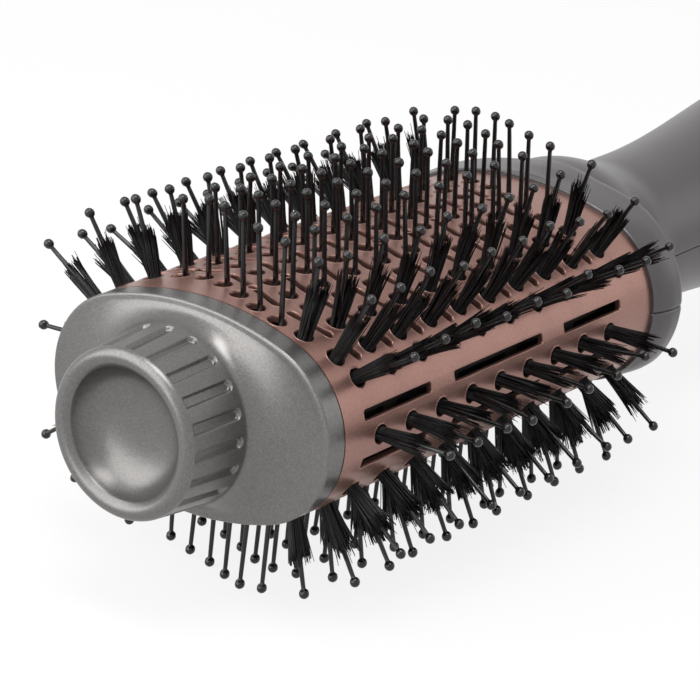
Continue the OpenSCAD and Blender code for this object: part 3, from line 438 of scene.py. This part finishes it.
def rowFrames(tufted, faces=(1, -1)):
    # start point, outward direction and number of bristles of each row
    halfNumbers = [-5.5, -4.5, -3.5, 3.5, 4.5, 5.5] if tufted else [-2.5, -1.5, -0.5, 0.5, 1.5, 2.5]
    found = []
    for face in faces:
        for j in halfNumbers:
            if abs(j) < 4:
                y = j * field["rowPitch"]
                z = math.sqrt(faceRadius**2 - y**2) - faceDrop
            else:
                a = math.radians(field["normals"][int(abs(j) - 4.5)])
                y = math.copysign(arcY + body["sideRadius"] * math.cos(a), j)
                z = body["sideRadius"] * math.sin(a)
            lean = math.radians(0 if abs(j) < 3 else math.copysign(field["leans"][int(abs(j) - 3.5)], j))
            found.append((np.array([body["capSeam"] + rowStart(j), y, face * z]),
                          np.array([0, math.sin(lean), face * math.cos(lean)]), field["count"]))
    if tufted:
        for side in (1, -1):
            found.append((np.array([body["capSeam"] + field["sideStart"], side * body["halfWidth"], 0]),
                          np.array([0, side, 0]), field["sideCount"]))
    return found


def bristleFrames(rows, shift):
    # an origin and three axes (along the brush, across, outwards) for every bristle
    origins, axes = [], []
    for start, out, count in rows:
        across = np.cross(out, [1.0, 0, 0])
        for i in range(count):
            origins.append(start + [i * field["pitch"] + shift, 0, 0])
            axes.append(np.stack([[1.0, 0, 0], across, out]))
    return np.array(origins), np.array(axes)


pin = {
    "sides": 10, "root": 0.56, "stem": 0.46, "neck": 0.4, "ball": 0.93, "length": 14.1,
    "forward": -0.085, "lean": 0.022, "bend": 0.25,
}


# One pin: a tapered stem with a ball on it, turned about its own axis. Every pin leans
# towards the cap and by its own small angle, and bends with the square of the height.
def buildPins(rows, shift, seed, restless=1.0):
    random = np.random.default_rng(seed)
    origins, axes = bristleFrames(rows, shift)
    c = pin
    ball = arcPath(c["length"], 0, c["ball"], 152, 0, 8)
    profile = np.vstack([[(-1.9, c["root"]), (0.5, c["root"] * 0.93), (5.5, c["stem"]),
                          (c["length"] - 2.4, c["neck"] + 0.02), (c["length"] - 1.1, c["neck"])], ball])
    profile[-1, 1] = 0.02
    a = np.linspace(0, 2 * math.pi, c["sides"], endpoint=False)
    h, r = profile[:, 0], profile[:, 1]
    shape = np.stack([r[:, None] * np.cos(a), r[:, None] * np.sin(a),
                      np.broadcast_to(h[:, None], (len(h), len(a)))], -1)
    count = len(origins)
    tilt = random.normal(0, c["lean"] * restless, (count, 2)) + [c["forward"], 0]
    curve = random.normal(0, c["bend"] * restless, (count, 2))
    place = np.broadcast_to(shape, (count, *shape.shape)).copy()
    t = np.clip(place[..., 2] / c["length"], 0, 1)[..., None]
    place[..., :2] += tilt[:, None, None] * np.clip(place[..., 2:], 0, None) + curve[:, None, None] * t**2
    world = origins[:, None, None] + np.einsum("kmni,kij->kmnj", place, axes)
    m, n = shape.shape[:2]
    one = triangles(gridFaces(m, n))
    capA = np.array([[0, i + 1, i] for i in range(1, n - 1)])
    capB = np.array([[(m - 1) * n, (m - 1) * n + i, (m - 1) * n + i + 1] for i in range(1, n - 1)])
    one = np.vstack([one, capA, capB])
    faces = (one[None] + (np.arange(count) * m * n)[:, None, None]).reshape(-1, 3)
    return world.reshape(-1, 3), faces


for name, rows, shift, seed, calm, node in (
        ("pinsTop", rowFrames(False, (1,)), field["pinShift"], 3, 0.6, "ball_pins_top"),
        ("pinsBottom", rowFrames(False, (-1,)), field["pinShift"], 4, 0.6, "ball_pins_bottom"),
        ("pinsEdge", rowFrames(True), field["tuftShift"], 5, 1.7, "tuft_pins")):
    points, faces = buildPins(rows, shift, seed, calm)
    addPiece(name, points, faces, pinNylon, "pin_nylon", "brush", node)
print("pins made")

tuft = {
    "clumps": 13, "strands": 8, "radius": 0.12, "bundle": 1.2, "fan": 0.75, "length": 9.5,
    "short": 0.78, "wander": 0.12, "stray": 0.05, "rings": 4, "sides": 3,
}


# One tuft: clumps of strands, three-sided threads that start in the bundle's disc. A
# strand's distance from the axis grows with the height to the power 1.2, and its clump
# sets how far it leans and how long it is, so the end is ragged.
def buildTufts(rows, seed):
    random = np.random.default_rng(seed)
    origins, axes = bristleFrames(rows, field["tuftShift"])
    c = tuft
    count = len(origins)
    groups, each = c["clumps"], c["strands"]
    shape = (count, groups, each)
    around = random.uniform(0, 2 * math.pi, (count, groups, 1)) + random.normal(0, 0.4, shape)
    out = np.sqrt(random.uniform(0.1, 1, (count, groups, 1))) + random.normal(0, 0.12, shape)
    out = np.clip(out, 0.3, 1)
    disc = np.stack([out * np.cos(around), out * np.sin(around)], -1)
    long = random.uniform(c["short"], 1.06, (count, groups, 1)) * random.uniform(0.96, 1.02, shape)
    long = np.where(random.uniform(0, 1, long.shape) < c["stray"], long * 1.12, long)
    spread = c["fan"] * random.uniform(0.6, 1.3, (count, 1, 1)) * random.uniform(0.8, 1.2, (count, groups, 1))
    sway = random.normal(0, 0.3, (count, 1, 1, 2)) + random.normal(0, 0.22, (count, groups, 1, 2))
    own = random.normal(0, c["wander"], (*shape, 2))
    t = np.linspace(0, 1, c["rings"] + 1)
    h = -1.7 + (c["length"] * long[..., None] + 1.7) * t
    u = np.clip(h / c["length"], 0, None)[..., None]
    middle = np.concatenate([
        disc[..., None, :] * (c["bundle"] + spread[..., None, None] * u**1.2)
        + (sway + own)[..., None, :] * u**2, h[..., None]], -1)
    a = np.linspace(0, 2 * math.pi, c["sides"], endpoint=False)
    thin = c["radius"] * np.array([1, 1, 1, 0.9, 0.5])[:c["rings"] + 1]
    ring = np.stack([np.cos(a), np.sin(a), 0 * a], -1)
    local = middle[..., None, :] + thin[:, None, None] * ring
    world = origins[:, None, None, None, None] + np.einsum("kgstni,kij->kgstnj", local, axes)
    m, n = c["rings"] + 1, c["sides"]
    last = (m - 1) * n
    one = np.vstack([triangles(gridFaces(m, n)), [[0, 2, 1], [last, last + 1, last + 2]]])
    faces = (one[None] + (np.arange(count * groups * each) * m * n)[:, None, None]).reshape(-1, 3)
    return world.reshape(-1, 3), faces


allTufts = rowFrames(True)
for index, name in enumerate(("tuftsTop", "tuftsBottom", "tuftsSides")):
    rows = (allTufts[:6], allTufts[6:12], allTufts[12:])[index]
    points, faces = buildTufts(rows, 20 + index)
    addPiece(name, points, faces, tuftNylon, "tuft_nylon", "brush", "bristle_tufts")
print("tufts made")


shell = {
    "around": 168, "flare": 20.5, "flareStart": 2.0, "flareFull": 7.84, "flareEnd": 13.0,
    "neck": 16.0, "neckAt": 32.8, "body": 22.4, "hold": 19.4, "rear": 20.4, "wall": 2.0,
    "length": 205.0, "neckEnd": 41.0, "bodyAt": 116.85, "holdAt": 176.3, "gap": 0.05,
    "roll": 0.16,
}
collar = {  # rows: station, share of the bulge, share of the tuck and share of the reach
    "edge": 0.8, "bulge": 2.0, "tuck": 4.9, "reach": 2.0, "fillet": 1.0,
    "rows": [(0, 0, 0.17, 0), (0, 0, 0.06, 0), (0.18, 0, 0.012, 0), (0.5, 0.05, 0, 0),
             (2.2, 0.6, 0, 0.1), (4.6, 1, 0, 0.3), (6.6, 1, 0, 0.7), (8.2, 0.85, 0, 1),
             (9.2, 0.45, 0.06, 1), (10, 0, 0.25, 1), (10.6, 0, 0.55, 1), (11.2, 0, 1.3, 1),
             (11.6, 0, 2.1, 1), (11.9, 0, 3.2, 1)],
}


def ease(t):
    return (1 - np.cos(math.pi * np.clip(t, 0, 1))) / 2


def handleRadius(s):
    c = shell
    root = body["halfHeight"] + collar["edge"] - 0.1
    r = root + (c["flare"] - root) * ease((s - c["flareStart"]) / (c["flareFull"] - c["flareStart"]))
    for first, last, low, high in (
            ("flareEnd", "neckAt", "flare", "neck"), ("neckEnd", "bodyAt", "neck", "body"),
            ("bodyAt", "holdAt", "body", "hold"), ("holdAt", "length", "hold", "rear")):
        share = ease((s - c[first]) / (c[last] - c[first]))
        r = np.where(s > c[first], c[low] + (c[high] - c[low]) * share, r)
    return r


# Half of the handle: round rings of handleRadius. At the collar they widen to the oval,
# which bulges by edge + (bulge - edge) * share round the narrow sides, and the larger of
# the two distances from the axis wins, rounded where they meet. The parting edges roll
# in, and an inner wall closes the section.
def buildShell(face):
    c = shell
    a = np.linspace(0, math.pi, c["around"])
    p = np.linspace(0, math.pi, 1441)
    q = ovalPoints(p, 1.0)
    normal = np.interp(a, np.arctan2(q[:, 1], q[:, 0]), p)
    share = ease((72 - np.degrees(np.minimum(normal, math.pi - normal))) / 34)
    base, stretch = ovalReach(a, 0.0), ovalReach(a, 1.0) - ovalReach(a, 0.0)
    s, outer = [], []
    for station, bulge, tuck, reach in smoothPath(collar["rows"], 4):
        grow = collar["edge"] + (collar["bulge"] - collar["edge"]) * share * bulge - collar["tuck"] * tuck
        s.append(station + collar["reach"] * (1 - share) * reach)
        wide, round_ = base + stretch * grow, handleRadius(s[-1])
        k = collar["fillet"]
        h = np.clip(0.5 + 0.5 * (wide - round_) / k, 0, 1)
        outer.append(wide if station < 1 else wide * h + round_ * (1 - h) + k * h * (1 - h))
    for station in (*np.linspace(14.4, 40, 26), *np.linspace(42, c["length"] - 0.6, 90)):
        s.append(np.full(len(a), station))
        outer.append(handleRadius(s[-1]))
    for inset, station in ((0.18, c["length"] - 0.22), (0.6, c["length"] - 0.02), (1.9, c["length"])):
        s.append(np.full(len(a), station))
        outer.append(np.full(len(a), c["rear"] - inset))
    s, outer = np.array(s), np.array(outer)
    inner = np.where(s < 5, base + 0.2, np.where(s < 9.5, base - 2.4 * stretch, 0))
    hollow = np.minimum(outer - 0.2, np.maximum(inner, handleRadius(s) - c["wall"]))
    roll = np.clip((np.minimum(a, math.pi - a)[None] * outer) / c["roll"], 0, 1)
    outer = outer - c["roll"] * (1 - np.sqrt(1 - (1 - roll)**2))

    def place(r):
        return np.stack([body["collarFront"] + s, r * np.cos(a), face * (r * np.sin(a) + c["gap"])], -1)

    # one loop per station: out along the outside, back along the inside
    loops = np.concatenate([place(outer), place(hollow)[:, ::-1]], 1)
    m, n = loops.shape[:2]
    faces = triangles(gridFaces(m, n))
    i = np.arange(n // 2 - 1)
    ends = []
    for first, turned in ((0, False), ((m - 1) * n, True)):
        quad = np.stack([first + i, first + i + 1, first + n - 2 - i, first + n - 1 - i], -1)
        ends.append(triangles(quad[:, ::-1] if turned else quad))
    return loops.reshape(-1, 3), np.vstack([faces, *ends])


for name, face, node in (("shellUpper", 1, "handle_upper_shell"), ("shellLower", -1, "handle_lower_shell")):
    points, faces = buildShell(face)
    addPiece(name, points, faces, handlePaint, "handle_plastic", "brush", node)
print("shells made")


finishes = {
    "barrel_shell": roseCoat, "air_core": heatResin, "front_strip_ring": heatResin,
    "rear_strip_ring": heatResin, "flat_strips_top": stripNylon, "flat_strips_bottom": stripNylon,
    "tuft_strips": stripNylon, "tie_rod": brightSteel, "barrel_base": heatResin,
    "shell_screws": brightSteel, "mica_tube": mica, "mica_board_upright": mica,
    "mica_board_flat": mica, "heating_coil": coilWire, "thermostat": brightSteel,
    "thermal_fuse": mica, "fan_housing": heatResin, "motor_damper": softRubber,
    "motor": motorSteel, "motor_shaft": brightSteel, "fan_impeller": fanPlastic,
    "circuit_board": boardGreen, "board_parts": partBlack, "heater_leads": leadRed,
    "motor_leads": leadYellow, "mains_leads": leadBlue, "switch_board": boardGreen,
    "switch_wiper": contactBrass, "selector_ring": ringPlastic, "tail_cap": handlePaint,
    "dust_filter": filterMesh, "cord_swivel": swivelPlastic, "swivel_clip": brightSteel,
}
for name, material in finishes.items():
    piece = nodes[name]
    for slot in piece.material_slots:
        slot.material = material
    if not piece.material_slots:
        piece.data.materials.append(material)
print("finishes set")

rim = {
    "hole": 1.8, "slotWidth": 1.9, "slotShift": -0.1, "edgeSlot": [(-0.5, 1.1), (0.5, -1.1)],
    "sideWidth": 2.0, "sideAngle": 15, "corner": 0.5, "sides": 16, "tries": 4,
    # each ring: how far outside the cut's edge, and how high above the barrel
    "section": [(-0.05, -0.45), (-0.03, -0.04), (0.05, 0.06), (0.17, 0.07), (0.32, -0.03)],
    "faceSpans": [(-3.8, -2.45), (-1.7, -0.4), (-0.4, 0.9), (1.6, 2.7), (2.7, 3.8)],
    "sideSpans": [(0.058, 0.261), (0.332, 0.62), (0.692, 0.891)],
}


# The oval's nearest point to each point (y, z) close to it, and the way out from it there.
def onOval(q):
    middle = np.where(np.abs(q[:, 1:]) <= math.tan(turnAngle) * np.maximum(np.abs(q[:, :1]) - arcY, 0),
                      np.column_stack([np.sign(q[:, 0]) * arcY, 0 * q[:, 0]]),
                      np.column_stack([0 * q[:, 0], -np.sign(q[:, 1]) * faceDrop]))
    reach = np.where(middle[:, 1] == 0, body["sideRadius"], faceRadius)[:, None]
    out = (q - middle) / np.linalg.norm(q - middle, axis=1)[:, None]
    return middle + out * reach, out


# A slot's outline: half a circle of the given radius round each of its ends, p and q.
def stadium(p, q, radius):
    p, q = np.array(p, float), np.array(q, float)
    a = math.atan2(q[1] - p[1], q[0] - p[0]) if np.any(p != q) else 0.0
    t = a + np.linspace(-math.pi / 2, math.pi / 2, rim["sides"] // 2)
    ring = np.stack([np.cos(t), np.sin(t)], -1) * radius
    return np.vstack([q + ring, p - ring])


# A long slot's outline, from x0 to x1: a quarter of a circle round each corner.
def roundedBar(x0, x1, half, corner, wide):
    t = np.radians([-90, -60, -30, 0])
    quarter = np.stack([np.cos(t), np.sin(t)], -1) * (corner + max(wide, -0.4))
    turned = quarter[:, ::-1]
    x0, x1, y = x0 + corner, x1 - corner, half - corner
    return np.vstack([[x1, -y] + quarter, [x1, y] + turned * [-1, 1],
                      [x0, y] - quarter, [x0, -y] + turned * [1, -1]])


# The strip round one cut. Its outline lies in the plane of axes about origin, and goes
# along the cut's own direction to the oval, a step nearer with each try. Each ring of the
# section is that outline, made wider and moved out from the oval.
def layRim(origin, axes, outline):
    rings = []
    direction = np.cross(axes[0], axes[1])[1:]
    for wide, high in rim["section"]:
        flat = origin + outline(wide) @ axes[:2]
        q = flat[:, 1:]
        for step in range(rim["tries"]):
            surface, out = onOval(q)
            q = q + (((surface - q) * out).sum(1) / (out @ direction))[:, None] * direction
        rings.append(np.column_stack([flat[:, 0], q + onOval(q)[1] * high]))
    return np.array(rings)


# The pressed edges of the barrel's cuts: round the bristle holes, the short slots of the
# shoulders, the slots of the wide faces and the long slots of the narrow sides.
def buildRims():
    c = rim
    halfSlot = c["slotWidth"] / 2
    loops = []
    for tufted in (False, True):
        for origin, axes in zip(*bristleFrames(rowFrames(tufted), 0)):
            loops.append(layRim(origin, axes, lambda wide: stadium((0, 0), (0, 0), c["hole"] + wide)))
    frames = rowFrames(True)
    for start, out, count in (frames[1], frames[4], frames[7], frames[10]):
        axes = np.stack([[1.0, 0, 0], np.cross(out, [1.0, 0, 0])])
        for i in range(count - 1):
            origin = start + [(i + 0.5) * field["pitch"] + c["slotShift"], 0, 0]
            loops.append(layRim(origin, axes, lambda wide: stadium(*c["edgeSlot"], halfSlot + wide)))
    for face in (1, -1):
        axes = np.array([[1.0, 0, 0], [0, face, 0]])
        for span in c["faceSpans"]:
            ends = [(rowStart(j) + field["pitch"] / 2 + c["slotShift"], face * j * field["rowPitch"])
                    for j in span[::face]]
            for i in range(field["count"] - 1):
                origin = np.array([body["capSeam"] + i * field["pitch"], 0, face * body["halfHeight"]])
                loops.append(layRim(origin, axes, lambda wide: stadium(*ends, halfSlot + wide)))
        for side in (1, -1):
            a = math.radians(c["sideAngle"])
            out = np.array([0, side * math.cos(a), face * math.sin(a)])
            origin = np.array([0, side * arcY, 0]) + out * body["sideRadius"]
            axes = np.stack([[1.0, 0, 0], np.cross(out, [1.0, 0, 0])])
            for span in c["sideSpans"]:
                ends = [body["capSeam"] + share * (body["collarFront"] - body["capSeam"]) for share in span]
                loops.append(layRim(origin, axes, lambda wide: roundedBar(
                    *ends, c["sideWidth"] / 2, c["corner"], wide)))
    faces, first = [], 0
    for loop in loops:
        faces.append(gridFaces(*loop.shape[:2], first))
        first += loop.shape[0] * loop.shape[1]
    return np.concatenate([loop.reshape(-1, 3) for loop in loops]), np.vstack(faces)


addPiece("cutRims", *buildRims(), roseCoat, "barrel_metal", "brush")
print("rims made")


studio = {
    "floor": 0.8, "floorSize": 3.0, "world": 0.42, "shadow": 0.14,
    "lens": 168.0, "azimuth": -54.53, "elevation": 20.40, "roll": 3.81, "distance": 599.0,
    "target": (-310.4, 2.0, -2.8),
}

lowest = cadBox[0][2]
size = studio["floorSize"]
mesh = bpy.data.meshes.new("floorSheet")
corners = [(-size, -size, lowest), (size, -size, lowest), (size, size, lowest), (-size, size, lowest)]
mesh.from_pydata(corners, [], [(0, 1, 2, 3)])
floorSheet = bpy.data.objects.new("floorSheet", mesh)
bpy.context.scene.collection.objects.link(floorSheet)
# Where the camera or a shiny surface sees the floor or the world it sees plain white, and
# the floor keeps a share of its own shading there, for the object's shadow.
material, tree = newMaterial("paleFloor")
diffuse = tree.node("ShaderNodeBsdfDiffuse", {}, {"Color": (studio["floor"],) * 3})
white = tree.node("ShaderNodeEmission", {}, {"Color": (1.0, 1.0, 1.0), "Strength": 1.0})
shader = tree.node("ShaderNodeMixShader", {}, [tree.seen() * (1 - studio["shadow"]), diffuse, white])
tree.node("ShaderNodeOutputMaterial", {}, {"Surface": shader})
mesh.materials.append(material)

world = bpy.data.worlds.new("studioWorld")
bpy.context.scene.world = world
world.use_nodes = True
tree = Tree(world)
soft = tree.node("ShaderNodeBackground", {}, {"Color": (1.0, 1.0, 1.0), "Strength": studio["world"]})
white = tree.node("ShaderNodeBackground", {}, {"Color": (1.0, 1.0, 1.0), "Strength": 1.0})
shader = tree.node("ShaderNodeMixShader", {}, [tree.seen(), soft, white])
tree.node("ShaderNodeOutputWorld", {}, {"Surface": shader})

focus = np.array([-0.31, 0.0, 0.0])
lamps = {  # where each softbox stands, its width and height in metres, and its power in watts
    "overhead": ((-0.5, -0.12, 0.95), (0.5, 0.5), 6.0),
    "left": ((-1.0, 0.4, 0.42), (1.2, 1.1), 11.5),
    "right": ((0.4, -0.55, 0.3), (0.45, 0.5), 0.5),
}
for name, (position, (wide, high), power) in lamps.items():
    light = bpy.data.lights.new(name, "AREA")
    light.shape = "RECTANGLE"
    light.size, light.size_y = wide, high
    light.energy = power
    lamp = bpy.data.objects.new(name, light)
    bpy.context.scene.collection.objects.link(lamp)
    back = np.array(position) - focus
    back /= np.linalg.norm(back)
    right = np.cross([0, 0, 1.0], back)
    right /= np.linalg.norm(right)
    up = np.cross(back, right)
    matrix = np.eye(4)
    matrix[:3, :3] = np.column_stack([right, up, back])
    matrix[:3, 3] = position
    lamp.matrix_world = Matrix(matrix.tolist())

a, e, roll = (math.radians(studio[key]) for key in ("azimuth", "elevation", "roll"))
back = np.array([math.sin(a) * math.cos(e), -math.cos(a) * math.cos(e), math.sin(e)])
right = np.array([math.cos(a), math.sin(a), 0.0])
up = np.cross(back, right)
rolledRight = math.cos(roll) * right + math.sin(roll) * up
rolledUp = -math.sin(roll) * right + math.cos(roll) * up
matrix = np.eye(4)
matrix[:3, :3] = np.column_stack([rolledRight, rolledUp, back])
matrix[:3, 3] = (np.array(studio["target"]) + studio["distance"] * back) * mm
cameraData = bpy.data.cameras.new("camera")
cameraData.lens = studio["lens"]
cameraData.sensor_width = 36.0
cameraData.clip_start = 0.01
camera = bpy.data.objects.new("camera", cameraData)
bpy.context.scene.collection.objects.link(camera)
camera.matrix_world = Matrix(matrix.tolist())
bpy.context.scene.camera = camera
bpy.context.scene.view_settings.view_transform = "Standard"
print("studio set")
